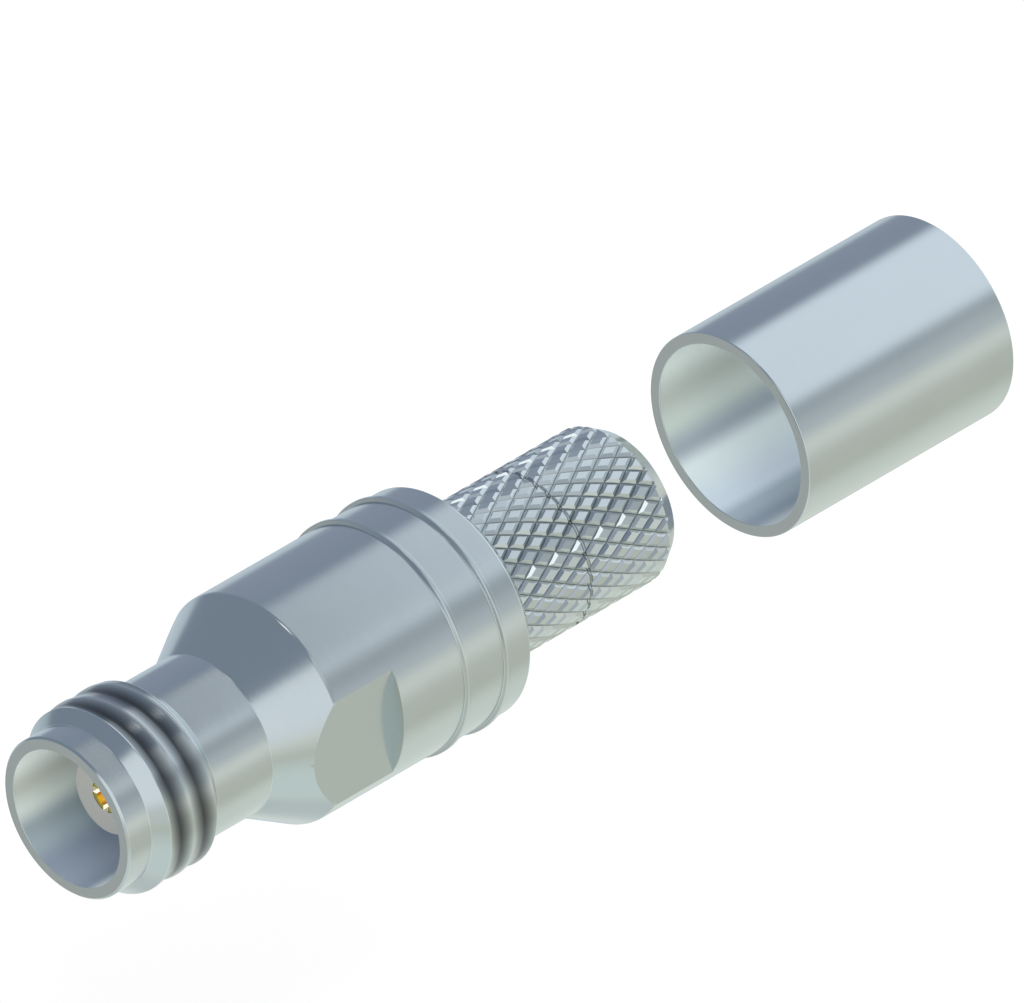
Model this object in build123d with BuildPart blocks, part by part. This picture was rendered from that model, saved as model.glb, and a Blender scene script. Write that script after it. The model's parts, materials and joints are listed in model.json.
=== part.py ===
from build123d import *
from math import ceil, cos, pi, radians, sin, tan
import os

# Coaxial cable jack with an external coupling thread, a knurled crimp stub and a loose crimp ferrule.
# Millimetres. The axis is X: the mouth faces -X and the cable leaves towards +X.
# The origin is on the axis, at the middle of the coupling thread. The wrench flats face -Y and +Y.

# Coupling end
mouth_bore_diameter = 8.15
mouth_rim_diameter = 9.60
mouth_rim_length = 1.70
mouth_edge_break = 0.12
thread_diameter = 11.11
thread_length = 3.43
thread_end_angle = 45.0
thread_pitch = 1.76
thread_depth = 0.28
thread_flat_width = 0.20
thread_turns = 4
thread_turns_ahead = 1.75
thread_overcut = 0.03
reference_depth = 8.40

# Neck, shoulder and grip body
neck_diameter = 9.60
neck_length = 4.19
shoulder_half_angle = 30.0
shoulder_edge_radius = 0.45
body_diameter = 13.70
body_length = 14.45
body_edge_break = 0.50
flat_spacing = 11.90
flat_length = 4.37

# Two rings near the rear face that hold a rubber boot
ring_height = 0.21
ring_top_width = 0.25
ring_ramp_length = 0.10
ring_setbacks = (5.22, 2.25)

# Stepped bore behind the mouth
dielectric_bore_diameter = 7.00
dielectric_bore_length = 5.00
insulator_bore_diameter = 9.20
seat_bore_diameter = 10.60
seat_clearance = 0.02

# Insulators
boss_diameter = 4.50
boss_setback = 2.94
front_flange_length = 1.50
rear_insulator_length = 5.30

# Centre contact
contact_setback = 2.94
contact_diameter = 1.94
socket_bore_diameter = 1.36
socket_bore_depth = 5.50
socket_slot_width = 0.30
socket_slot_length = 4.00
socket_slot_planes = 2
contact_flange_diameter = 5.20
contact_flange_length = 0.80
barrel_diameter = 3.90
barrel_setback = 0.30
conductor_bore_diameter = 2.84
conductor_bore_depth = 3.80

# Crimp stub
collar_setback = 0.25
stub_bore_diameter = 7.50
stub_knurled_length = 12.28
stub_tip_diameter = 8.20
stub_tip_length = 1.01
knurl_crest_diameter = 9.46
knurl_depth = 0.17
knurl_starts = 30
knurl_helix_angle = 30.0
knurl_land_share = 0.58
knurl_ring_setback = 5.94
knurl_ring_width = 0.10
knurl_ring_depth = 0.08

# Crimp ferrule, shown drawn back along the cable
ferrule_outer_diameter = 12.20
ferrule_bore_diameter = 10.80
ferrule_length = 15.80
ferrule_gap = 8.40

# Stations along the axis, worked out from the lengths
thread_end_length = (thread_diameter - mouth_rim_diameter) / 2 / tan(radians(thread_end_angle))
neck_cone_length = (thread_diameter - neck_diameter) / 2 / tan(radians(thread_end_angle))
shoulder_length = (body_diameter - neck_diameter) / 2 / tan(radians(shoulder_half_angle))
thread_front_x = -thread_length / 2
thread_rear_x = thread_length / 2
mouth_x = thread_front_x - thread_end_length - mouth_rim_length
neck_front_x = thread_rear_x + neck_cone_length
shoulder_front_x = neck_front_x + neck_length
shoulder_rear_x = shoulder_front_x + shoulder_length
rear_x = shoulder_rear_x + body_length
reference_x = mouth_x + reference_depth
insulator_bore_x = reference_x + dielectric_bore_length
insulator_joint_x = insulator_bore_x + front_flange_length
seat_x = insulator_joint_x + rear_insulator_length
knurl_end_x = rear_x + stub_knurled_length
stub_end_x = knurl_end_x + stub_tip_length
ferrule_front_x = stub_end_x + ferrule_gap

os.makedirs("parts", exist_ok=True)


def half_section(points):
    """Closed half section on the XZ plane, from (x, radius) points."""
    with BuildSketch(Plane.XZ) as section:
        with BuildLine():
            Polyline(*points, close=True)
        make_face()
    return section.sketch


# Housing: one turned piece, from the mouth rim to the rear face
with BuildPart() as housing:
    revolve(half_section([
        (mouth_x, 0),
        (mouth_x, mouth_rim_diameter / 2 - mouth_edge_break),
        (mouth_x + mouth_edge_break, mouth_rim_diameter / 2),
        (mouth_x + mouth_rim_length, mouth_rim_diameter / 2),
        (thread_front_x, thread_diameter / 2),
        (thread_rear_x, thread_diameter / 2),
        (neck_front_x, neck_diameter / 2),
        (shoulder_front_x, neck_diameter / 2),
        (shoulder_rear_x, body_diameter / 2),
        (rear_x - body_edge_break, body_diameter / 2),
        (rear_x, body_diameter / 2 - body_edge_break),
        (rear_x, 0),
    ]), axis=Axis.X)
    shoulder_edges = housing.edges().filter_by(GeomType.CIRCLE).filter_by(
        lambda edge: abs(edge.arc_center.X - shoulder_rear_x) < 0.001)
    fillet(shoulder_edges, radius=shoulder_edge_radius)

    # Coupling thread: a right-hand groove, cut turn by turn, that runs out through the cone at each end
    thread_root_radius = thread_diameter / 2 - thread_depth
    flank_run = thread_pitch / 2 - thread_flat_width
    groove_half_width = thread_flat_width / 2 + flank_run * (1 + thread_overcut / thread_depth)
    with BuildPart(mode=Mode.PRIVATE) as groove_turn:
        with BuildLine() as turn_path:
            Helix(pitch=thread_pitch, height=thread_pitch, radius=thread_root_radius, direction=(1, 0, 0))
        with BuildSketch(Plane(origin=turn_path.line @ 0, x_dir=(1, 0, 0), z_dir=(0, -1, 0))):
            with BuildLine():
                Polyline(
                    (-thread_flat_width / 2, 0),
                    (thread_flat_width / 2, 0),
                    (groove_half_width, thread_depth + thread_overcut),
                    (-groove_half_width, thread_depth + thread_overcut),
                    close=True,
                )
            make_face()
        sweep(path=turn_path.line, is_frenet=True)
    for turn in range(thread_turns):
        with Locations((thread_pitch * (turn - thread_turns_ahead), 0, 0)):
            add(groove_turn.part, mode=Mode.SUBTRACT)

    # Boot rings: a short front ramp, a flat top and a square rear side
    for ring_setback in ring_setbacks:
        ring_front_x = rear_x - ring_setback - ring_top_width / 2
        revolve(half_section([
            (ring_front_x - ring_ramp_length, body_diameter / 2 - ring_height),
            (ring_front_x - ring_ramp_length, body_diameter / 2),
            (ring_front_x, body_diameter / 2 + ring_height),
            (ring_front_x + ring_top_width, body_diameter / 2 + ring_height),
            (ring_front_x + ring_top_width, body_diameter / 2 - ring_height),
        ]), axis=Axis.X)

    # Wrench flats: milled from the shoulder to a square step
    for side in (-1, 1):
        with BuildSketch(Plane.XY):
            with Locations((shoulder_rear_x + flat_length, side * flat_spacing / 2)):
                Rectangle(
                    flat_length + shoulder_length,
                    body_diameter,
                    align=(Align.MAX, Align.MIN if side > 0 else Align.MAX),
                )
        extrude(amount=body_diameter / 2, both=True, mode=Mode.SUBTRACT)

    # Stepped bore: mating space, dielectric bore, insulator bore and stub seat
    revolve(half_section([
        (mouth_x, 0),
        (mouth_x, mouth_bore_diameter / 2),
        (reference_x, mouth_bore_diameter / 2),
        (reference_x, dielectric_bore_diameter / 2),
        (insulator_bore_x, dielectric_bore_diameter / 2),
        (insulator_bore_x, insulator_bore_diameter / 2),
        (seat_x, insulator_bore_diameter / 2),
        (seat_x, seat_bore_diameter / 2),
        (rear_x, seat_bore_diameter / 2),
        (rear_x, 0),
    ]), axis=Axis.X, mode=Mode.SUBTRACT)

# Front insulator: a boss in the mouth, a body in the dielectric bore and a rear flange
contact_hole_radius = contact_diameter / 2 + seat_clearance
with BuildPart() as front_insulator:
    revolve(half_section([
        (mouth_x + boss_setback, contact_hole_radius),
        (mouth_x + boss_setback, boss_diameter / 2),
        (reference_x, boss_diameter / 2),
        (reference_x, dielectric_bore_diameter / 2 - seat_clearance),
        (insulator_bore_x, dielectric_bore_diameter / 2 - seat_clearance),
        (insulator_bore_x, insulator_bore_diameter / 2 - seat_clearance),
        (insulator_joint_x, insulator_bore_diameter / 2 - seat_clearance),
        (insulator_joint_x, contact_hole_radius),
    ]), axis=Axis.X)

# Rear insulator: clamps the contact's flange against the front insulator
barrel_hole_radius = barrel_diameter / 2 + seat_clearance
flange_pocket_radius = contact_flange_diameter / 2 + seat_clearance
flange_rear_x = insulator_joint_x + contact_flange_length
with BuildPart() as rear_insulator:
    revolve(half_section([
        (insulator_joint_x, flange_pocket_radius),
        (insulator_joint_x, insulator_bore_diameter / 2 - seat_clearance),
        (seat_x, insulator_bore_diameter / 2 - seat_clearance),
        (seat_x, barrel_hole_radius),
        (flange_rear_x, barrel_hole_radius),
        (flange_rear_x, flange_pocket_radius),
    ]), axis=Axis.X)

# Centre contact: slotted socket, stem, trapped flange and a rear barrel for the conductor
contact_front_x = mouth_x + contact_setback
contact_rear_x = seat_x - barrel_setback
with BuildPart() as centre_contact:
    revolve(half_section([
        (contact_front_x, socket_bore_diameter / 2),
        (contact_front_x, contact_diameter / 2),
        (insulator_joint_x, contact_diameter / 2),
        (insulator_joint_x, contact_flange_diameter / 2),
        (flange_rear_x, contact_flange_diameter / 2),
        (flange_rear_x, barrel_diameter / 2),
        (contact_rear_x, barrel_diameter / 2),
        (contact_rear_x, conductor_bore_diameter / 2),
        (contact_rear_x - conductor_bore_depth, conductor_bore_diameter / 2),
        (contact_rear_x - conductor_bore_depth, 0),
        (contact_front_x + socket_bore_depth, 0),
        (contact_front_x + socket_bore_depth, socket_bore_diameter / 2),
    ]), axis=Axis.X)
    for slot in range(socket_slot_planes):
        slot_plane = Plane.XY.rotated((180 / socket_slot_planes * slot, 0, 0))
        with BuildSketch(slot_plane):
            with Locations((contact_front_x, 0)):
                Rectangle(socket_slot_length, socket_slot_width, align=(Align.MIN, Align.CENTER))
        extrude(amount=contact_diameter, both=True, mode=Mode.SUBTRACT)


def knurl_blank(start_x, row_x, end_x):
    """Solid round bar with flat-topped diamonds, covering start_x to end_x, one row centred at row_x.

    The diamonds of one row share their side corners, and each row is turned by half a
    diamond against the next. The land's width makes the four flanks of a diamond flat.
    """
    crest = knurl_crest_diameter / 2
    root = crest - knurl_depth
    half_step = pi / knurl_starts
    half_length = crest * half_step / tan(radians(knurl_helix_angle))
    corner_drop = root * (1 - cos(half_step))
    land_half_length = knurl_land_share * half_length
    flank_run = half_length - land_half_length
    land_half_width = (land_half_length * root * sin(half_step) * knurl_depth
                       / (half_length * knurl_depth + flank_run * corner_drop))
    rows_before = ceil((row_x - start_x) / half_length)
    rows = rows_before + ceil((end_x - row_x) / half_length) + 1
    first_x = row_x - rows_before * half_length

    def root_point(row, step):
        angle = half_step * step
        return Vector(first_x + half_length * row, root * sin(angle), root * cos(angle))

    def land_point(row, step, along, across):
        angle = half_step * step
        y = crest * sin(angle) + across * cos(angle)
        z = crest * cos(angle) - across * sin(angle)
        return Vector(first_x + half_length * row + along, y, z)

    faces = []
    for row in range(rows):
        ring = []
        for step in range(row % 2, 2 * knurl_starts + row % 2, 2):
            side_low = root_point(row, step - 1)
            side_high = root_point(row, step + 1)
            land_low = land_point(row, step, 0, -land_half_width)
            land_high = land_point(row, step, 0, land_half_width)
            ring += [side_low, land_low, land_high]
            ends = []
            if row > 0:
                ends.append((root_point(row - 1, step), land_point(row, step, -land_half_length, 0)))
            if row < rows - 1:
                ends.append((root_point(row + 1, step), land_point(row, step, land_half_length, 0)))
            for tip, land_tip in ends:
                faces.append(Face(Wire.make_polygon([side_low, land_low, land_tip, tip])))
                faces.append(Face(Wire.make_polygon([side_high, land_high, land_tip, tip])))
            land = [land_low] + [land_tip for _, land_tip in ends[:1]] + [land_high]
            land += [land_tip for _, land_tip in ends[1:]]
            faces.append(Face(Wire.make_polygon(land)))
        if row in (0, rows - 1):
            faces.append(Face(Wire.make_polygon(ring)))
    return Solid(Shell(faces))


# Crimp stub: seated collar, knurled tube and a plain tapered tip
collar_rear_x = rear_x - collar_setback
crest_radius = knurl_crest_diameter / 2
envelope_radius = crest_radius + knurl_depth
tip_slope = (crest_radius - stub_tip_diameter / 2) / stub_tip_length
ring_x = knurl_end_x - knurl_ring_setback
with BuildPart() as crimp_stub:
    add(knurl_blank(collar_rear_x, knurl_end_x, stub_end_x))

    # Turned envelope: square start against the collar, tapered tip
    revolve(half_section([
        (collar_rear_x, 0),
        (collar_rear_x, envelope_radius),
        (knurl_end_x - knurl_depth / tip_slope, envelope_radius),
        (stub_end_x, stub_tip_diameter / 2),
        (stub_end_x, 0),
    ]), axis=Axis.X, mode=Mode.INTERSECT)

    # Fine turned ring across the knurl
    revolve(half_section([
        (ring_x - knurl_ring_width / 2, crest_radius - knurl_ring_depth),
        (ring_x - knurl_ring_width / 2, envelope_radius),
        (ring_x + knurl_ring_width / 2, envelope_radius),
        (ring_x + knurl_ring_width / 2, crest_radius - knurl_ring_depth),
    ]), axis=Axis.X, mode=Mode.SUBTRACT)

    # Collar in the housing's seat, then the bore for the cable's dielectric
    revolve(half_section([
        (seat_x, 0),
        (seat_x, seat_bore_diameter / 2 - seat_clearance),
        (collar_rear_x, seat_bore_diameter / 2 - seat_clearance),
        (collar_rear_x, 0),
    ]), axis=Axis.X)
    revolve(half_section([
        (seat_x, 0),
        (seat_x, stub_bore_diameter / 2),
        (stub_end_x, stub_bore_diameter / 2),
        (stub_end_x, 0),
    ]), axis=Axis.X, mode=Mode.SUBTRACT)

# Crimp ferrule: plain seamless tube with square ends
with BuildPart() as crimp_ferrule:
    with BuildSketch(Plane.YZ.offset(ferrule_front_x)):
        Circle(ferrule_outer_diameter / 2)
        Circle(ferrule_bore_diameter / 2, mode=Mode.SUBTRACT)
    extrude(amount=ferrule_length)

housing.part.label = "housing"
front_insulator.part.label = "front_insulator"
rear_insulator.part.label = "rear_insulator"
centre_contact.part.label = "centre_contact"
crimp_stub.part.label = "crimp_stub"
crimp_ferrule.part.label = "crimp_ferrule"

export_step(housing.part, "parts/housing.step")
export_step(front_insulator.part, "parts/front_insulator.step")
export_step(rear_insulator.part, "parts/rear_insulator.step")
export_step(centre_contact.part, "parts/centre_contact.step")
export_step(crimp_stub.part, "parts/crimp_stub.step")
export_step(crimp_ferrule.part, "parts/crimp_ferrule.step")
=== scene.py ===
import json
import math
import bmesh
import bpy
import numpy as np
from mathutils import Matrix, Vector


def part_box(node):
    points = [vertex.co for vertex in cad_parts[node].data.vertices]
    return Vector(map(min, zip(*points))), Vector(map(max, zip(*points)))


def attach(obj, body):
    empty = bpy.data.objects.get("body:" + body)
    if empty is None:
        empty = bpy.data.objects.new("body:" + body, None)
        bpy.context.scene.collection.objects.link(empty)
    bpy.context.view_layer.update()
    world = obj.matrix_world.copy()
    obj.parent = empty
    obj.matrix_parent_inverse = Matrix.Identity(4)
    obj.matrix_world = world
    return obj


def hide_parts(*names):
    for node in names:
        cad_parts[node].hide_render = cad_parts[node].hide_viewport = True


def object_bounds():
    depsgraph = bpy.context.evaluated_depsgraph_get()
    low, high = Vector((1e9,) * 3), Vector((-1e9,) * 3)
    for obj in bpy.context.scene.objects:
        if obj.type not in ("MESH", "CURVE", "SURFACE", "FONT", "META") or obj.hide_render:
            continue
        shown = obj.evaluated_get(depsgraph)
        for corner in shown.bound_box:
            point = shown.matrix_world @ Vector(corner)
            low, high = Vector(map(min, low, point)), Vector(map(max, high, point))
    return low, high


# Coaxial cable jack with a coupling thread, a knurled crimp stub and a loose crimp ferrule
# Metres. The axis is X, the mouth faces -X and the wrench flats face -Y and +Y
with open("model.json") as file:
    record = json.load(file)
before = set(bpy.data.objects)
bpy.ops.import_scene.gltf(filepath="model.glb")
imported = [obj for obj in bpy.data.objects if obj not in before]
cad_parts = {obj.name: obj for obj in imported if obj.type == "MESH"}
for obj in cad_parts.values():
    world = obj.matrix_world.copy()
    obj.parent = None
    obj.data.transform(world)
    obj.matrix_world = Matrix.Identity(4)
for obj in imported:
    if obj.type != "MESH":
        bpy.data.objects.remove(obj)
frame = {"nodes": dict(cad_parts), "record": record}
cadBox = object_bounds()
mm = 0.001
mounts = {mount["name"]: mount for mount in frame["record"]["mounts"]}
colours = {row["slot"]: row["base_color"] for row in frame["record"]["materials"]}
print("frame loaded:", ", ".join(sorted(frame["nodes"])))


# Nodes: one new node with its values, a link or a plain value, and a math node that takes either
def addNode(tree, kind, **values):
    node = tree.nodes.new(kind)
    for name, value in values.items():
        setattr(node, name, value)
    return node


def feed(tree, socket, value):
    if isinstance(value, bpy.types.NodeSocket):
        tree.links.new(value, socket)
    else:
        socket.default_value = value


def compute(tree, operation, *values):
    node = addNode(tree, "ShaderNodeMath", operation=operation)
    for socket, value in zip(node.inputs, values):
        feed(tree, socket, value)
    return node.outputs[0]


def remap(tree, value, low, high, toLow=0.0, toHigh=1.0):
    node = addNode(tree, "ShaderNodeMapRange", interpolation_type="SMOOTHSTEP")
    for socket, number in zip(node.inputs, (value, low, high, toLow, toHigh)):
        feed(tree, socket, number)
    return node.outputs[0]


def mixColour(tree, factor, first, second, blend="MIX"):
    node = addNode(tree, "ShaderNodeMix", data_type="RGBA", blend_type=blend)
    feed(tree, node.inputs[0], factor)
    feed(tree, node.inputs[6], first)
    feed(tree, node.inputs[7], second)
    return node.outputs[2]


def opaque(colour):
    return (*colour, 1.0)


def addRamp(tree, value, tones):
    ramp = addNode(tree, "ShaderNodeValToRGB")
    ramp.color_ramp.interpolation = "EASE"
    stops = ramp.color_ramp.elements
    while len(stops) < len(tones):
        stops.new(0.5)
    for stop, (position, colour) in zip(stops, tones):
        stop.position = position
        stop.color = opaque(colour)
    feed(tree, ramp.inputs[0], value)
    return ramp.outputs[0]


# The place on the object, as its x, y and z and its radius from the axis
def addPlace(tree):
    axes = addNode(tree, "ShaderNodeSeparateXYZ")
    feed(tree, axes.inputs[0], addNode(tree, "ShaderNodeTexCoord").outputs["Object"])
    x, y, z = axes.outputs
    radius = compute(tree, "SQRT", compute(tree, "ADD", compute(tree, "MULTIPLY", y, y),
                                           compute(tree, "MULTIPLY", z, z)))
    return x, y, z, radius


turnedPattern = {
    "markDetail": 2.0,
    "cloudScale": 260.0,
    "cloudDetail": 3.0,
    "markRoughness": 0.5,
    "reliefDepth": 0.004 * mm,
}


# Turned finish, shared by every machined piece. Tool marks run round the axis, so their pattern is
# a noise of x plus radius, which gives rings on cylinders, cones and end faces alike. A slow noise
# in three dimensions makes the finish uneven. Puts out a tone, a roughness and a height
def makeTurnedFinish():
    tree = bpy.data.node_groups.new("turnedFinish", "ShaderNodeTree")
    for name, value in (("Mark Scale", 9000.0), ("Mark Tone", 0.04), ("Cloud Tone", 0.05),
                        ("Roughness", 0.2), ("Roughness Spread", 0.05)):
        socket = tree.interface.new_socket(name=name, in_out="INPUT", socket_type="NodeSocketFloat")
        socket.default_value = value
    for name in ("Tone", "Roughness", "Height"):
        tree.interface.new_socket(name=name, in_out="OUTPUT", socket_type="NodeSocketFloat")
    given = addNode(tree, "NodeGroupInput").outputs
    x, y, z, radius = addPlace(tree)
    along = compute(tree, "MULTIPLY", compute(tree, "ADD", x, radius), given["Mark Scale"])
    marks = addNode(tree, "ShaderNodeTexNoise", noise_dimensions="1D")
    feed(tree, marks.inputs["W"], along)
    feed(tree, marks.inputs["Detail"], turnedPattern["markDetail"])
    clouds = addNode(tree, "ShaderNodeTexNoise")
    feed(tree, clouds.inputs["Vector"], addNode(tree, "ShaderNodeTexCoord").outputs["Object"])
    feed(tree, clouds.inputs["Scale"], turnedPattern["cloudScale"])
    feed(tree, clouds.inputs["Detail"], turnedPattern["cloudDetail"])
    mark = compute(tree, "SUBTRACT", marks.outputs[0], 0.5)
    cloud = compute(tree, "SUBTRACT", clouds.outputs[0], 0.5)
    tone = compute(tree, "ADD", compute(tree, "MULTIPLY_ADD", mark, given["Mark Tone"], 1.0),
                   compute(tree, "MULTIPLY", cloud, given["Cloud Tone"]))
    both = compute(tree, "MULTIPLY_ADD", mark, turnedPattern["markRoughness"], cloud)
    rough = compute(tree, "MULTIPLY_ADD", both, given["Roughness Spread"], given["Roughness"])
    put = addNode(tree, "NodeGroupOutput").inputs
    feed(tree, put["Tone"], tone)
    feed(tree, put["Roughness"], rough)
    feed(tree, put["Height"], marks.outputs[0])
    return tree


turnedFinish = makeTurnedFinish()


def startMaterial(name):
    material = bpy.data.materials.new(name)
    material.use_nodes = True
    tree = material.node_tree
    return material, tree, tree.nodes["Principled BSDF"]


def addTurnedFinish(tree, shader, colour, values, bump):
    group = addNode(tree, "ShaderNodeGroup", node_tree=turnedFinish)
    for key, value in values.items():
        group.inputs[key].default_value = value
    toned = mixColour(tree, 1.0, opaque(colour), group.outputs["Tone"], "MULTIPLY")
    feed(tree, shader.inputs["Roughness"], group.outputs["Roughness"])
    relief = addNode(tree, "ShaderNodeBump")
    relief.inputs["Strength"].default_value = bump
    relief.inputs["Distance"].default_value = turnedPattern["reliefDepth"]
    feed(tree, relief.inputs["Height"], group.outputs["Height"])
    feed(tree, shader.inputs["Normal"], relief.outputs[0])
    return toned


platedLook = {
    "finish": {"Mark Scale": 9000.0, "Mark Tone": 0.05, "Cloud Tone": 0.06, "Roughness": 0.17,
               "Roughness Spread": 0.06},
    "bump": 0.25,
    "grooveShadeColour": (0.035, 0.040, 0.046),
    "edgePolishAndSheenTone": 1.12,
    "boreMetallic": 0.15,
    "boreRoughness": 0.45,
    "paintedBoreGlow": 0.25,
}


# Painted reflection streaks along a bore: a ramp of the angle round the axis, as a share of a turn from -Z
# towards +Y, under the turned finish
def addPaintedStreaks(tree, tones):
    x, y, z, radius = addPlace(tree)
    angle = compute(tree, "ARCTAN2", y, compute(tree, "MULTIPLY", z, -1.0))
    turn = compute(tree, "FRACT", compute(tree, "DIVIDE", angle, 2 * math.pi))
    finish = addNode(tree, "ShaderNodeGroup", node_tree=turnedFinish)
    return mixColour(tree, 1.0, addRamp(tree, turn, tones), finish.outputs["Tone"], "MULTIPLY")


# Gives the bores a duller finish, with the painted reflection streaks as their colour and a painted glow of
# the same streaks against their depth
def addBore(tree, shader, bore, outside, paintedBoreReflections):
    paintedStreaks = addPaintedStreaks(tree, paintedBoreReflections)
    feed(tree, shader.inputs["Base Color"], mixColour(tree, bore, outside, paintedStreaks))
    # Painted glow: the streaks are also given out as light of the bore's own
    feed(tree, shader.inputs["Emission Color"], mixColour(tree, bore, opaque((0, 0, 0)), paintedStreaks))
    shader.inputs["Emission Strength"].default_value = platedLook["paintedBoreGlow"]
    feed(tree, shader.inputs["Metallic"], remap(tree, bore, 0, 1, 1.0, platedLook["boreMetallic"]))
    smooth = shader.inputs["Roughness"].links[0].from_socket
    dull = compute(tree, "MULTIPLY", bore, platedLook["boreRoughness"])
    feed(tree, shader.inputs["Roughness"], compute(tree, "MAXIMUM", smooth, dull))


# Plated metal. The piece's own groove attribute darkens it with painted shade in the thread's valleys, its
# edge attribute brightens the broken edges with polish from handling and painted highlight, and its bore
# attribute marks its bores
def makePlated(name, colour, paintedBoreReflections):
    material, tree, shader = startMaterial(name)
    toned = addTurnedFinish(tree, shader, colour, platedLook["finish"], platedLook["bump"])
    groove = addNode(tree, "ShaderNodeAttribute", attribute_name="groove").outputs["Fac"]
    edge = addNode(tree, "ShaderNodeAttribute", attribute_name="edge").outputs["Fac"]
    # Brighter base colour on broken edges: partly polish from handling, partly painted highlight
    polishAndSheen = mixColour(tree, edge, (1, 1, 1, 1), opaque((platedLook["edgePolishAndSheenTone"],) * 3))
    brighter = mixColour(tree, 1.0, toned, polishAndSheen, "MULTIPLY")
    bore = addNode(tree, "ShaderNodeAttribute", attribute_name="bore").outputs["Fac"]
    outside = mixColour(tree, groove, brighter, opaque(platedLook["grooveShadeColour"]))
    addBore(tree, shader, bore, outside, paintedBoreReflections)
    return material


knurlLook = {
    "finish": {"Roughness": 0.16, "Mark Tone": 0.03},
    "bump": 0.15,
    "rootRadius": 4.535 * mm,
    "lineHeight": 0.07 * mm,
    "rootShadeTone": 0.25,
    "knurlEnd": 36.94 * mm,
    "ringX": 31.00 * mm,
    "ringHalfWidth": 0.09 * mm,
    "ringLine": 0.04 * mm,
    "ringTone": 0.35,
    "boreRadius": 3.78 * mm,
}


# Knurled plating: a thin dark line of painted shade and dirt along the bottom of the grooves, and dark
# lines along both edges of the fine ring. The stub's bore has the duller finish of the other bores, with
# their painted reflection streaks and glow
def makeKnurled(name, colour, paintedBoreReflections):
    look = knurlLook
    material, tree, shader = startMaterial(name)
    toned = addTurnedFinish(tree, shader, colour, look["finish"], look["bump"])
    x, y, z, radius = addPlace(tree)
    root = look["rootRadius"]
    tone = remap(tree, radius, root, root + look["lineHeight"], look["rootShadeTone"], 1.0)
    plainTip = compute(tree, "GREATER_THAN", x, look["knurlEnd"])
    fromRing = compute(tree, "ABSOLUTE", compute(tree, "SUBTRACT", x, look["ringX"]))
    fromLine = compute(tree, "ABSOLUTE", compute(tree, "SUBTRACT", fromRing, look["ringHalfWidth"]))
    ring = remap(tree, fromLine, 0.5 * look["ringLine"], look["ringLine"], look["ringTone"], 1.0)
    shadeAndDirtLines = compute(tree, "MULTIPLY", compute(tree, "MAXIMUM", tone, plainTip), ring)
    bore = compute(tree, "LESS_THAN", radius, look["boreRadius"])
    addBore(tree, shader, bore, mixColour(tree, 1.0, toned, shadeAndDirtLines, "MULTIPLY"), paintedBoreReflections)
    return material


goldLook = {
    "finish": {"Mark Scale": 14000.0, "Mark Tone": 0.10, "Cloud Tone": 0.10, "Roughness": 0.16,
               "Roughness Spread": 0.06},
    "bump": 0.2,
    "boreRadius": 0.69 * mm,
    "boreColour": (0.92, 0.60, 0.05),
    "boreShade": (0.42, 0.16, 0.01),
    "paintedBoreGlow": 0.40,
    "shadeSpan": (0.15 * mm, 0.42 * mm),
    "rimSpan": (0.90 * mm, 0.95 * mm),
    "rimShadeTone": 0.30,
    "slotColour": (1.00, 0.96, 0.88),
    "slotHalfWidth": 0.16 * mm,
    "slotEnd": 2.80 * mm,
    "glow": 0.50,
    "insideMetallic": 0.3,
}


# Gold plating, warmer in the socket's bore with a painted glow there, browner beside its saw cuts and
# darker with painted shade round its rim, where it meets the insulator. The walls of the saw cuts were cut
# after plating and stay pale, and glow with painted light too
def makeGold(name, colour):
    look = goldLook
    material, tree, shader = startMaterial(name)
    toned = addTurnedFinish(tree, shader, colour, look["finish"], look["bump"])
    x, y, z, radius = addPlace(tree)
    socket = compute(tree, "LESS_THAN", x, look["slotEnd"])
    bore = compute(tree, "MULTIPLY", socket, compute(tree, "LESS_THAN", radius, look["boreRadius"]))
    aside = compute(tree, "MINIMUM", compute(tree, "ABSOLUTE", y), compute(tree, "ABSOLUTE", z))
    cut = compute(tree, "MULTIPLY", socket, compute(tree, "LESS_THAN", aside, look["slotHalfWidth"]))
    cut = compute(tree, "MULTIPLY", cut, compute(tree, "GREATER_THAN", radius, look["boreRadius"]))
    rimShade = remap(tree, radius, *look["rimSpan"], 1.0, look["rimShadeTone"])
    outer = mixColour(tree, 1.0, toned, rimShade, "MULTIPLY")
    fromCut = remap(tree, aside, *look["shadeSpan"])
    inner = mixColour(tree, fromCut, opaque(look["boreShade"]), opaque(look["boreColour"]))
    finished = mixColour(tree, cut, mixColour(tree, bore, outer, inner), opaque(look["slotColour"]))
    feed(tree, shader.inputs["Base Color"], finished)
    inside = compute(tree, "MAXIMUM", bore, cut)
    # Painted glow: the bore's warm colour and the pale walls of the cuts are given out as light of their
    # own
    glow = mixColour(tree, 1.0, inner, compute(tree, "MULTIPLY", bore, look["paintedBoreGlow"]), "MULTIPLY")
    feed(tree, shader.inputs["Emission Color"], mixColour(tree, cut, glow, opaque(look["slotColour"])))
    shader.inputs["Emission Strength"].default_value = look["glow"]
    feed(tree, shader.inputs["Metallic"], remap(tree, inside, 0, 1, 1.0, look["insideMetallic"]))
    return material


insulatorLook = {
    "finish": {"Mark Scale": 6000.0, "Mark Tone": 0.06, "Cloud Tone": 0.05, "Roughness": 0.42,
               "Roughness Spread": 0.08},
    "bump": 0.4,
    "shade": 0.84,
    "refractiveIndex": 1.38,
}


# Turned fluoropolymer: waxy, with faint tool rings
def makeInsulator(name, colour):
    material, tree, shader = startMaterial(name)
    shaded = [part * insulatorLook["shade"] for part in colour]
    toned = addTurnedFinish(tree, shader, shaded, insulatorLook["finish"], insulatorLook["bump"])
    feed(tree, shader.inputs["Base Color"], toned)
    shader.inputs["IOR"].default_value = insulatorLook["refractiveIndex"]
    return material
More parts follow.
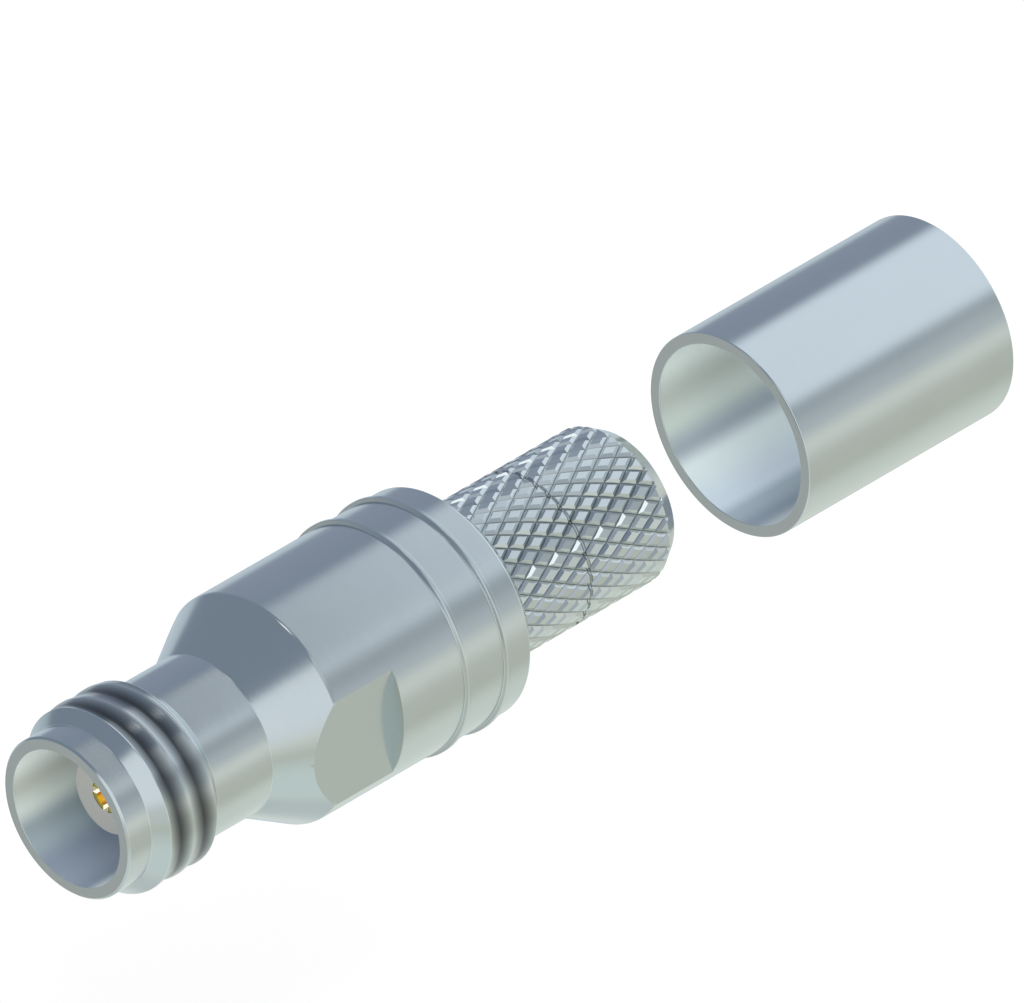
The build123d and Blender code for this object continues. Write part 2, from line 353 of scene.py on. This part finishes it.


# Painted reflection colours along the ramp of each kind of bore. The first and the last are the same,
# because it wraps
paintedBoreReflections = {
    "mouth": (
        (0.00, (0.25, 0.30, 0.38)),
        (0.06, (0.23, 0.28, 0.36)),
        (0.11, (0.30, 0.37, 0.41)),
        (0.145, (0.28, 0.34, 0.37)),
        (0.19, (0.58, 0.64, 0.60)),
        (0.24, (0.47, 0.51, 0.45)),
        (0.31, (0.73, 0.79, 0.74)),
        (0.50, (0.42, 0.46, 0.49)),
        (0.90, (0.50, 0.56, 0.60)),
        (0.95, (0.22, 0.27, 0.35)),
        (1.00, (0.25, 0.30, 0.38)),
    ),
    "tube": (
        (0.00, (0.33, 0.40, 0.47)),
        (0.03, (0.55, 0.63, 0.72)),
        (0.11, (0.66, 0.75, 0.76)),
        (0.145, (0.33, 0.38, 0.42)),
        (0.19, (0.54, 0.61, 0.56)),
        (0.235, (0.46, 0.50, 0.45)),
        (0.31, (0.67, 0.74, 0.68)),
        (0.50, (0.40, 0.43, 0.45)),
        (0.90, (0.40, 0.44, 0.48)),
        (0.95, (0.22, 0.27, 0.34)),
        (1.00, (0.33, 0.40, 0.47)),
    ),
}
housingPlating = makePlated("platedHousing", colours["plated_housing"], paintedBoreReflections["mouth"])
ferrulePlating = makePlated("platedFerrule", colours["plated_ferrule"], paintedBoreReflections["tube"])
stubPlating = makeKnurled("platedStub", colours["plated_stub"], paintedBoreReflections["mouth"])
goldPlating = makeGold("goldContact", colours["gold_contact"])
fluoropolymer = makeInsulator("insulator", colours["insulator"])
print("materials made")


meshing = {"edgeSteps": 4, "hold": 0.02 * mm, "double": 0.0002 * mm, "sharpAngle": 35.0}


# Section outline with broken edges. Each corner (x, radius, cut) becomes a curve that starts and
# ends the cut's length away from it, and is the quadratic curve through those two ends with the
# corner as its control point. A holding station beside each end keeps the long faces flat.
# Rows of the result are x, radius and 1 on a broken edge
def roundedSection(corners):
    steps, hold = meshing["edgeSteps"], meshing["hold"]
    corners = np.array(corners, float)
    point, cut = corners[:, None, :2], corners[:, None, 2:]
    before = np.roll(point, 1, axis=0) - point
    after = np.roll(point, -1, axis=0) - point
    before /= np.linalg.norm(before, axis=2, keepdims=True)
    after /= np.linalg.norm(after, axis=2, keepdims=True)
    share = np.linspace(0, 1, steps + 1)[None, :, None]
    start, end = point + before * cut, point + after * cut
    curve = (1 - share) ** 2 * start + 2 * share * (1 - share) * point + share ** 2 * end
    rows = np.concatenate([start + before * hold, curve, end + after * hold], axis=1)
    onEdge = np.zeros(rows.shape[:2] + (1,))
    onEdge[:, 2:-2] = 1
    return np.concatenate([rows, onEdge], axis=2).reshape(-1, 3)


# Cuts each stretch of a section that lies between two x values into equal parts no longer than step
def refined(rows, low, high, step):
    ends = np.roll(rows, -1, axis=0)
    span = np.hypot(ends[:, 0] - rows[:, 0], ends[:, 1] - rows[:, 1])
    inside = (np.minimum(rows[:, 0], ends[:, 0]) > low) & (np.maximum(rows[:, 0], ends[:, 0]) < high)
    parts = np.where(inside, np.ceil(span / step), 1).astype(int)
    parts = np.maximum(parts, 1)
    first = np.repeat(np.cumsum(parts) - parts, parts)
    share = ((np.arange(parts.sum()) - first) / np.repeat(parts, parts))[:, None]
    start = np.repeat(rows, parts, axis=0)
    cut = start + share * (np.repeat(ends, parts, axis=0) - start)
    cut[:, 2] = np.where(share[:, 0] > 0, 0, start[:, 2])
    return cut


# Mesh from a grid of points that closes on itself both ways: one quad between four neighbours,
# doubles merged and normals outwards. Each attribute holds one number a point
def gridPiece(name, points, material, attributes):
    rows, columns = points.shape[:2]
    index = np.arange(rows * columns).reshape(rows, columns)
    down, across = np.roll(index, -1, axis=0), np.roll(index, -1, axis=1)
    quads = np.stack([index, across, np.roll(down, -1, axis=1), down], axis=-1).reshape(-1, 4)
    mesh = bpy.data.meshes.new(name)
    mesh.vertices.add(points.size // 3)
    mesh.vertices.foreach_set("co", points.astype(np.float32).ravel())
    mesh.loops.add(quads.size)
    mesh.loops.foreach_set("vertex_index", quads.ravel())
    mesh.polygons.add(len(quads))
    mesh.polygons.foreach_set("loop_start", np.arange(0, quads.size, 4))
    mesh.update(calc_edges=True)
    for key, values in attributes.items():
        layer = mesh.attributes.new(key, "FLOAT", "POINT")
        layer.data.foreach_set("value", np.broadcast_to(values, (rows, columns)).astype(np.float32).ravel())
    work = bmesh.new()
    work.from_mesh(mesh)
    bmesh.ops.remove_doubles(work, verts=work.verts, dist=meshing["double"])
    bmesh.ops.recalc_face_normals(work, faces=work.faces)
    work.to_mesh(mesh)
    work.free()
    mesh.shade_smooth()
    mesh.set_sharp_from_angle(angle=math.radians(meshing["sharpAngle"]))
    mesh.materials.append(material)
    piece = bpy.data.objects.new(name, mesh)
    bpy.context.scene.collection.objects.link(piece)
    return piece


# Marks as sharp every edge whose two ends both have the named attribute
def sharpenAlong(piece, key):
    mesh = piece.data
    marked = np.zeros(len(mesh.vertices), np.float32)
    mesh.attributes[key].data.foreach_get("value", marked)
    ends = np.zeros(len(mesh.edges) * 2, np.int32)
    mesh.edges.foreach_get("vertices", ends)
    layer = mesh.attributes.get("sharp_edge") or mesh.attributes.new("sharp_edge", "BOOLEAN", "EDGE")
    sharp = np.zeros(len(mesh.edges), bool)
    layer.data.foreach_get("value", sharp)
    sharp |= (marked[ends.reshape(-1, 2)] > 0.99).all(axis=1)
    layer.data.foreach_set("value", sharp)


# Points on turned surfaces: x, then the radius times the cosine and the sine of the angle,
# which is measured from +Y towards +Z
def turned(x, radius, angle):
    x, radius, angle = np.broadcast_arrays(x, radius, angle)
    return np.stack([x, radius * np.cos(angle), radius * np.sin(angle)], axis=-1)


housingSize = {
    "rimRadius": 4.80 * mm,
    "rimChamfer": 0.12 * mm,
    "neckRadius": 4.80 * mm,
    "neckLength": 4.19 * mm,
    "shoulderHalfAngle": 30.0,
    "shoulderEdgeRadius": 0.45 * mm,
    "bodyRadius": 6.85 * mm,
    "bodyChamfer": 0.50 * mm,
    "flatLength": 4.37 * mm,
    "stepBreak": 0.0525 * mm,
    "ringSetbacks": (5.22 * mm, 2.25 * mm),
    "ringTop": 0.25 * mm,
    "ringRamp": 0.10 * mm,
    "mouthBoreRadius": 4.075 * mm,
    "referenceDepth": 8.40 * mm,
    "dielectricBoreRadius": 3.50 * mm,
    "dielectricBoreLength": 5.00 * mm,
    "insulatorBoreRadius": 4.60 * mm,
    "insulatorBoreLength": 6.80 * mm,
    "seatBoreRadius": 5.30 * mm,
    "edgeBreak": 0.035 * mm,
    "slightBreak": 0.021 * mm,
    "bodyBreak": 0.070 * mm,
    "threadPitch": 1.76 * mm,
    "threadDepth": 0.12 * mm,
    "threadFlat": 0.20 * mm,
    "threadShade": 0.66,
    "threadFade": 0.03 * mm,
    "shadeSoftness": 2.2,
    "threadStation": 0.045 * mm,
    "coneStations": 8,
    "flatEdgeStations": 24,
    "margin": 0.1 * mm,
    "columnsPerFlat": 24,
    "columnsPerArc": 104,
}


# Housing. A closed section runs round the axis. Where the flats are, the radius is the smaller of
# the section's and the flat's distance over the cosine, and the columns lean so that one follows
# each edge of a flat. The thread's groove is cut along a right-hand helix, and crosses x = 0 at +Y
def makeHousing():
    size = housingSize
    low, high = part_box("housing")
    mouthX, rearX, ringRadius = low.x, high.x, high.z
    threadRadius = mounts["coupling_thread"]["dims"]["r_mm"] * mm
    threadHalf = mounts["coupling_thread"]["dims"]["length_mm"] * mm / 2
    flatDistance = abs(mounts["wrench_flat_front"]["pos_m"][1])
    rimRadius, neckRadius, bodyRadius = size["rimRadius"], size["neckRadius"], size["bodyRadius"]
    halfAngle = math.radians(size["shoulderHalfAngle"])
    neckX = threadHalf + threadRadius - neckRadius
    shoulderX = neckX + size["neckLength"]
    bodyX = shoulderX + (bodyRadius - neckRadius) / math.tan(halfAngle)
    stepX = bodyX + size["flatLength"]
    referenceX = mouthX + size["referenceDepth"]
    insulatorX = referenceX + size["dielectricBoreLength"]
    seatX = insulatorX + size["insulatorBoreLength"]
    edge, slight = size["edgeBreak"], size["slightBreak"]
    corners = [
        (mouthX, rimRadius - size["rimChamfer"], slight),
        (mouthX + size["rimChamfer"], rimRadius, slight),
        (-threadHalf - threadRadius + rimRadius, rimRadius, edge),
        (-threadHalf, threadRadius, edge),
        (threadHalf, threadRadius, edge),
        (neckX, neckRadius, edge),
        (shoulderX, neckRadius, edge),
        (bodyX, bodyRadius, size["shoulderEdgeRadius"] * math.tan(halfAngle / 2)),
    ]
    for setback in size["ringSetbacks"]:
        ringX = rearX - setback - size["ringTop"] / 2
        corners += [
            (ringX - size["ringRamp"], bodyRadius, slight),
            (ringX, ringRadius, edge),
            (ringX + size["ringTop"], ringRadius, edge),
            (ringX + size["ringTop"], bodyRadius, slight),
        ]
    corners += [
        (rearX - size["bodyChamfer"], bodyRadius, size["bodyBreak"]),
        (rearX, bodyRadius - size["bodyChamfer"], size["bodyBreak"]),
        (rearX, size["seatBoreRadius"], edge),
        (seatX, size["seatBoreRadius"], edge),
        (seatX, size["insulatorBoreRadius"], edge),
        (insulatorX, size["insulatorBoreRadius"], edge),
        (insulatorX, size["dielectricBoreRadius"], edge),
        (referenceX, size["dielectricBoreRadius"], edge),
        (referenceX, size["mouthBoreRadius"], edge),
        (mouthX, size["mouthBoreRadius"], edge),
    ]
    margin = size["margin"]
    rows = refined(roundedSection(corners), -neckX - margin, neckX + margin, size["threadStation"])

    # The shoulder's stations stand where the edge of a flat turns by equal angles
    flatAngle = math.acos(flatDistance / bodyRadius)
    onShoulder = (rows[:, 0] > shoulderX + margin) & (rows[:, 0] < bodyX + 3 * margin)
    firstRow, lastRow = np.flatnonzero(onShoulder & (rows[:, 1] > neckRadius))[[0, -1]]
    foot, top = rows[firstRow - 1], rows[firstRow]
    turn = np.linspace(0, math.acos(flatDistance / top[1]), size["flatEdgeStations"])[:-1]
    belowFlat = np.linspace(foot[1], flatDistance, size["coneStations"])[:-1]
    radii = np.concatenate([belowFlat, flatDistance / np.cos(turn)])
    onCone = np.interp(radii, [foot[1], top[1]], [foot[0], top[0]])
    shoulderRows = np.stack([onCone, radii, np.zeros(len(radii))], axis=1)
    stepTop, hold = size["stepBreak"], meshing["hold"]
    step = np.array([[stepX, bodyRadius, 0], [stepX, bodyRadius - stepTop, 0],
                     [stepX + 0.3 * stepTop, bodyRadius - 0.3 * stepTop, 0],
                     [stepX + stepTop, bodyRadius, 0], [stepX + stepTop + hold, bodyRadius, 0]])
    ahead, rounding, behind = rows[:firstRow - 1], rows[firstRow:lastRow + 1], rows[lastRow + 1:]
    rows = np.concatenate([ahead, shoulderRows, rounding, step, behind])
    stepRow = lastRow + len(shoulderRows)
    x, radius, onEdge = rows[:, 0:1], rows[:, 1:2], rows[:, 2:3]

    # Columns: a flat, an arc, the other flat and the other arc
    order = np.arange(len(rows))[:, None]
    outerRows = order < np.argmax(rows[:, 0])
    cosine = np.clip(flatDistance / radius, -1, 1)
    lean = np.where(order <= stepRow, np.where(radius > flatDistance, np.arccos(cosine), 0), flatAngle)
    lean = np.where((x < shoulderX) & outerRows, 0, lean)
    backInside = ~outerRows & (x < seatX)
    lean = np.where(backInside, flatAngle * np.clip((x - insulatorX) / (seatX - insulatorX), 0, 1), lean)
    flats, arcs = size["columnsPerFlat"], size["columnsPerArc"]
    knots = np.cumsum([0, flats, arcs, flats, arcs])
    column = np.arange(knots[-1])
    centre = np.interp(column, knots, np.array([1, 1, 2, 2, 3]) * math.pi)
    side = np.interp(column, knots, [-1, 1, -1, 1, -1])
    angle = centre + lean * side
    milled = (order >= firstRow) & (order <= stepRow)
    flatRadius = flatDistance / np.maximum(np.abs(np.cos(angle)), 1e-6)
    surface = np.where(milled, np.minimum(radius, flatRadius), radius)

    # Just behind the step the wall's broken top stays above the flat
    onStep = (order > stepRow) & (order < stepRow + 3)
    inFlat = np.abs(side) < 0.999
    wallTop = np.where(inFlat, np.maximum(surface, np.minimum(flatRadius, bodyRadius)), bodyRadius)
    surface = np.where(onStep, wallTop, surface)

    # Thread: straight flanks between flat roots and crests. The groove's painted shade falls off in a
    # straight line from the middle of the root to the middle of the crest
    pitch, flat = size["threadPitch"], size["threadFlat"]
    phase = x / pitch - angle / (2 * math.pi)
    distance = np.abs(phase - np.round(phase)) * pitch
    depth = size["threadDepth"] * np.clip((pitch / 2 - flat / 2 - distance) / (pitch / 2 - flat), 0, 1)
    onThread = outerRows & (np.abs(x) < neckX)
    surface = np.where(onThread, np.minimum(surface, threadRadius - depth), surface)
    fade = np.clip((threadHalf - np.abs(x)) / size["threadFade"], 0, 1)
    shade = np.where(onThread, size["threadShade"] * (1 - 2 * distance / pitch) * fade, 0)
    groove = 1 - (1 - shade) ** size["shadeSoftness"]

    flatEdge = np.isin(column, knots[:-1]) & milled
    onEdge = np.where(milled & inFlat, 0, onEdge)
    inBore = ~outerRows & (x > mouthX + 0.9 * edge) & (x < rearX - 0.9 * edge)
    piece = gridPiece("housingTurned", turned(x, surface, angle), housingPlating,
                      {"groove": groove, "edge": onEdge, "bore": inBore, "flatEdge": flatEdge})
    sharpenAlong(piece, "flatEdge")
    return piece


ferruleSize = {"boreRadius": 5.40 * mm, "edgeBreak": 0.07 * mm, "columns": 224}


# Ferrule: a tube whose four edges are lightly broken
def makeFerrule():
    low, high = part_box("crimp_ferrule")
    inner, cut = ferruleSize["boreRadius"], ferruleSize["edgeBreak"]
    corners = [(low.x, high.z, cut), (high.x, high.z, cut), (high.x, inner, cut), (low.x, inner, cut)]
    rows = roundedSection(corners)
    angle = np.linspace(0, 2 * math.pi, ferruleSize["columns"], endpoint=False)
    x, radius, onEdge = rows[:, 0:1], rows[:, 1:2], rows[:, 2:3]
    inBore = (radius < inner + cut / 8) & (x > low.x + 0.9 * cut) & (x < high.x - 0.9 * cut)
    return gridPiece("ferruleTube", turned(x, radius, angle), ferrulePlating,
                     {"groove": np.zeros((len(rows), 1)), "edge": onEdge, "bore": inBore})


housingPiece = makeHousing()
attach(housingPiece, "connector")
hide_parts("housing")
print("housing made:", len(housingPiece.data.polygons), "faces")

ferrulePiece = makeFerrule()
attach(ferrulePiece, "ferrule")
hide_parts("crimp_ferrule")
print("ferrule made:", len(ferrulePiece.data.polygons), "faces")

finishes = {
    "crimp_stub": stubPlating,
    "centre_contact": goldPlating,
    "front_insulator": fluoropolymer,
    "rear_insulator": fluoropolymer,
}
for nodeName, material in finishes.items():
    nodeMesh = frame["nodes"][nodeName].data
    nodeMesh.materials.clear()
    nodeMesh.materials.append(material)
print("carried-over nodes finished")


studio = {
    "floorDrop": 45 * mm,
    "floorSize": 6.0,
    "floorColour": (0.93, 0.93, 0.93),
    "floorLift": 0.20,
    "floorRoughness": 0.9,
    "floorGrain": 40.0,
    "floorGrainSpan": (0.2, 0.8),
    "floorGrainTone": 0.99,
    "ambient": 0.78,
    "tentRadius": 0.25,
    "tentSegments": 64,
    "keyPlace": (-0.25, -0.45, 0.60),
    "keySize": 0.45,
    "keyPower": 2.0,
    # Brightness by height, from straight down at -1 to straight up at 1
    "levels": (
        (-1.00, (0.66, 0.73, 0.73)),
        (-0.90, (0.80, 0.86, 0.83)),
        (-0.80, (0.80, 0.86, 0.80)),
        (-0.57, (0.64, 0.67, 0.60)),
        (-0.35, (0.66, 0.69, 0.63)),
        (-0.07, (0.86, 0.89, 0.84)),
        (0.20, (0.58, 0.64, 0.68)),
        (0.45, (0.44, 0.49, 0.54)),
        (0.66, (0.66, 0.71, 0.77)),
        (1.00, (0.70, 0.75, 0.81)),
    ),
    # Cards hung in the tent: where each one is, its half width and soft edge in degrees, the height
    # below which it fades out, and its colour
    "cards": (
        ("lowBack", (-0.45, 0.86, -0.18), 20, 30, -1.10, (0.33, 0.36, 0.37)),
        ("lowMiddle", (0.12, 0.95, -0.25), 16, 27, -1.10, (0.52, 0.62, 0.70)),
        ("lowSide", (0.45, 0.82, -0.40), 24, 34, -1.10, (0.60, 0.69, 0.77)),
        ("sideFlag", (-0.25, 0.75, 0.60), 78, 86, -0.08, (0.265, 0.315, 0.395)),
        ("farFlag", (0.75, 0.65, 0.10), 20, 50, -0.08, (0.33, 0.38, 0.48)),
        ("lowFront", (-0.58, 0.58, -0.58), 18, 45, -1.10, (0.50, 0.53, 0.52)),
        ("overheadBox", (0.75, -0.05, 0.65), 27, 39, -0.08, (0.70, 0.77, 0.855)),
        ("frontBox", (-0.785, -0.57, 0.242), 29, 36, -0.08, (0.93, 1.00, 1.06)),
        ("mouthMiddle", (-0.82, -0.56, -0.14), 3, 11, -1.10, (0.70, 0.75, 0.74)),
        ("mouthLow", (-0.40, -0.53, -0.75), 12, 32, -1.10, (0.77, 0.87, 0.85)),
        ("skylight", (0.01, 0.04, 1.00), 6, 9, -0.08, (1.50, 1.55, 1.60)),
    ),
    "cardFade": 0.10,
    # The overhead card grows brighter towards the cable end
    "overheadRise": (0.465, 0.59, 0.49, 1.33),
}


# Tent: a sphere round the object that only reflections see. Its colour is a ramp of the
# direction's height, and each card is mixed over it by the angle from the card's centre
def makeTent():
    middle = (cadBox[0] + cadBox[1]) / 2
    radius, segments = studio["tentRadius"], studio["tentSegments"]
    bpy.ops.mesh.primitive_uv_sphere_add(segments=segments, ring_count=segments // 2, radius=radius,
                                         location=middle)
    tent = bpy.context.object
    tent.name = "studioTent"
    material = bpy.data.materials.new("studioTent")
    material.use_nodes = True
    material.cycles.emission_sampling = "NONE"
    tree = material.node_tree
    tree.nodes.clear()
    direction = addNode(tree, "ShaderNodeVectorMath", operation="NORMALIZE")
    feed(tree, direction.inputs[0], addNode(tree, "ShaderNodeTexCoord").outputs["Object"])
    axes = addNode(tree, "ShaderNodeSeparateXYZ")
    feed(tree, axes.inputs[0], direction.outputs[0])
    height = axes.outputs[2]
    levels = [((level + 1) / 2, colour) for level, colour in studio["levels"]]
    light = addRamp(tree, compute(tree, "MULTIPLY_ADD", height, 0.5, 0.5), levels)
    rise = remap(tree, axes.outputs[0], *studio["overheadRise"])
    for name, towards, inner, outer, lowest, colour in studio["cards"]:
        facing = addNode(tree, "ShaderNodeVectorMath", operation="DOT_PRODUCT")
        feed(tree, facing.inputs[0], direction.outputs[0])
        facing.inputs[1].default_value = Vector(towards).normalized()
        outside, inside = math.cos(math.radians(outer)), math.cos(math.radians(inner))
        amount = remap(tree, facing.outputs["Value"], outside, inside)
        above = remap(tree, height, lowest - studio["cardFade"], lowest + studio["cardFade"])
        card = opaque(colour)
        if name == "overheadBox":
            card = mixColour(tree, 1.0, card, rise, "MULTIPLY")
        light = mixColour(tree, compute(tree, "MULTIPLY", amount, above), light, card)
    glow = addNode(tree, "ShaderNodeEmission")
    feed(tree, glow.inputs["Color"], light)
    feed(tree, addNode(tree, "ShaderNodeOutputMaterial").inputs[0], glow.outputs[0])
    tent.data.materials.append(material)
    tent.visible_camera = False
    tent.visible_diffuse = False
    tent.visible_shadow = False
    tent.visible_transmission = False


def makeFloor():
    bpy.ops.mesh.primitive_plane_add(size=studio["floorSize"], location=(0, 0, -studio["floorDrop"]))
    floor = bpy.context.object
    floor.name = "studioFloor"
    material, tree, shader = startMaterial("studioFloor")
    grain = addNode(tree, "ShaderNodeTexNoise")
    feed(tree, grain.inputs["Vector"], addNode(tree, "ShaderNodeTexCoord").outputs["Object"])
    feed(tree, grain.inputs["Scale"], studio["floorGrain"])
    tone = remap(tree, grain.outputs[0], *studio["floorGrainSpan"], studio["floorGrainTone"], 1.0)
    toned = mixColour(tree, 1.0, opaque(studio["floorColour"]), tone, "MULTIPLY")
    feed(tree, shader.inputs["Base Color"], toned)
    shader.inputs["Roughness"].default_value = studio["floorRoughness"]
    shader.inputs["Specular IOR Level"].default_value = 0.0
    seen = addNode(tree, "ShaderNodeLightPath").outputs["Is Camera Ray"]
    shader.inputs["Emission Color"].default_value = (1, 1, 1, 1)
    feed(tree, shader.inputs["Emission Strength"], compute(tree, "MULTIPLY", seen, studio["floorLift"]))
    floor.data.materials.append(material)
    floor.visible_glossy = False


# World: white where it is seen or reflected, and a plain level for what it lights
def makeWorld():
    world = bpy.data.worlds.new("studio")
    world.use_nodes = True
    bpy.context.scene.world = world
    tree = world.node_tree
    background = tree.nodes["Background"]
    path = addNode(tree, "ShaderNodeLightPath").outputs
    seen = compute(tree, "MAXIMUM", path["Is Camera Ray"],
                   compute(tree, "MAXIMUM", path["Is Glossy Ray"], path["Is Transmission Ray"]))
    background.inputs["Color"].default_value = (1, 1, 1, 1)
    feed(tree, background.inputs["Strength"], remap(tree, seen, 0, 1, studio["ambient"], 1.0))


def makeKeyLamp():
    lamp = bpy.data.lights.new("keyLamp", "AREA")
    lamp.shape = "DISK"
    lamp.size = studio["keySize"]
    lamp.energy = studio["keyPower"]
    holder = bpy.data.objects.new("keyLamp", lamp)
    bpy.context.scene.collection.objects.link(holder)
    holder.location = studio["keyPlace"]
    holder.rotation_euler = (-Vector(studio["keyPlace"])).to_track_quat("-Z", "Y").to_euler()
    holder.visible_glossy = False


makeTent()
makeFloor()
makeWorld()
makeKeyLamp()
print("studio made")


view = {
    "towards": (-1, -1, 1),
    "target": (21.071 * mm, -8.560 * mm, 12.512 * mm),
    "distance": 2400 * mm,
    "fieldWidth": 54.968 * mm,
    "sensorWidth": 36.0,
    "clip": (0.1, 20.0),
}


# Camera: along the cube's diagonal, from so far away that parallel lines stay nearly parallel
def makeCamera():
    camera = bpy.data.objects.new("camera", bpy.data.cameras.new("camera"))
    bpy.context.scene.collection.objects.link(camera)
    back = Vector(view["towards"]).normalized()
    camera.location = Vector(view["target"]) + back * view["distance"]
    camera.rotation_euler = (-back).to_track_quat("-Z", "Y").to_euler()
    camera.data.sensor_width = view["sensorWidth"]
    camera.data.lens = view["sensorWidth"] * view["distance"] / view["fieldWidth"]
    camera.data.clip_start, camera.data.clip_end = view["clip"]
    bpy.context.scene.camera = camera


makeCamera()
bpy.context.scene.view_settings.view_transform = "Standard"
print("camera placed")
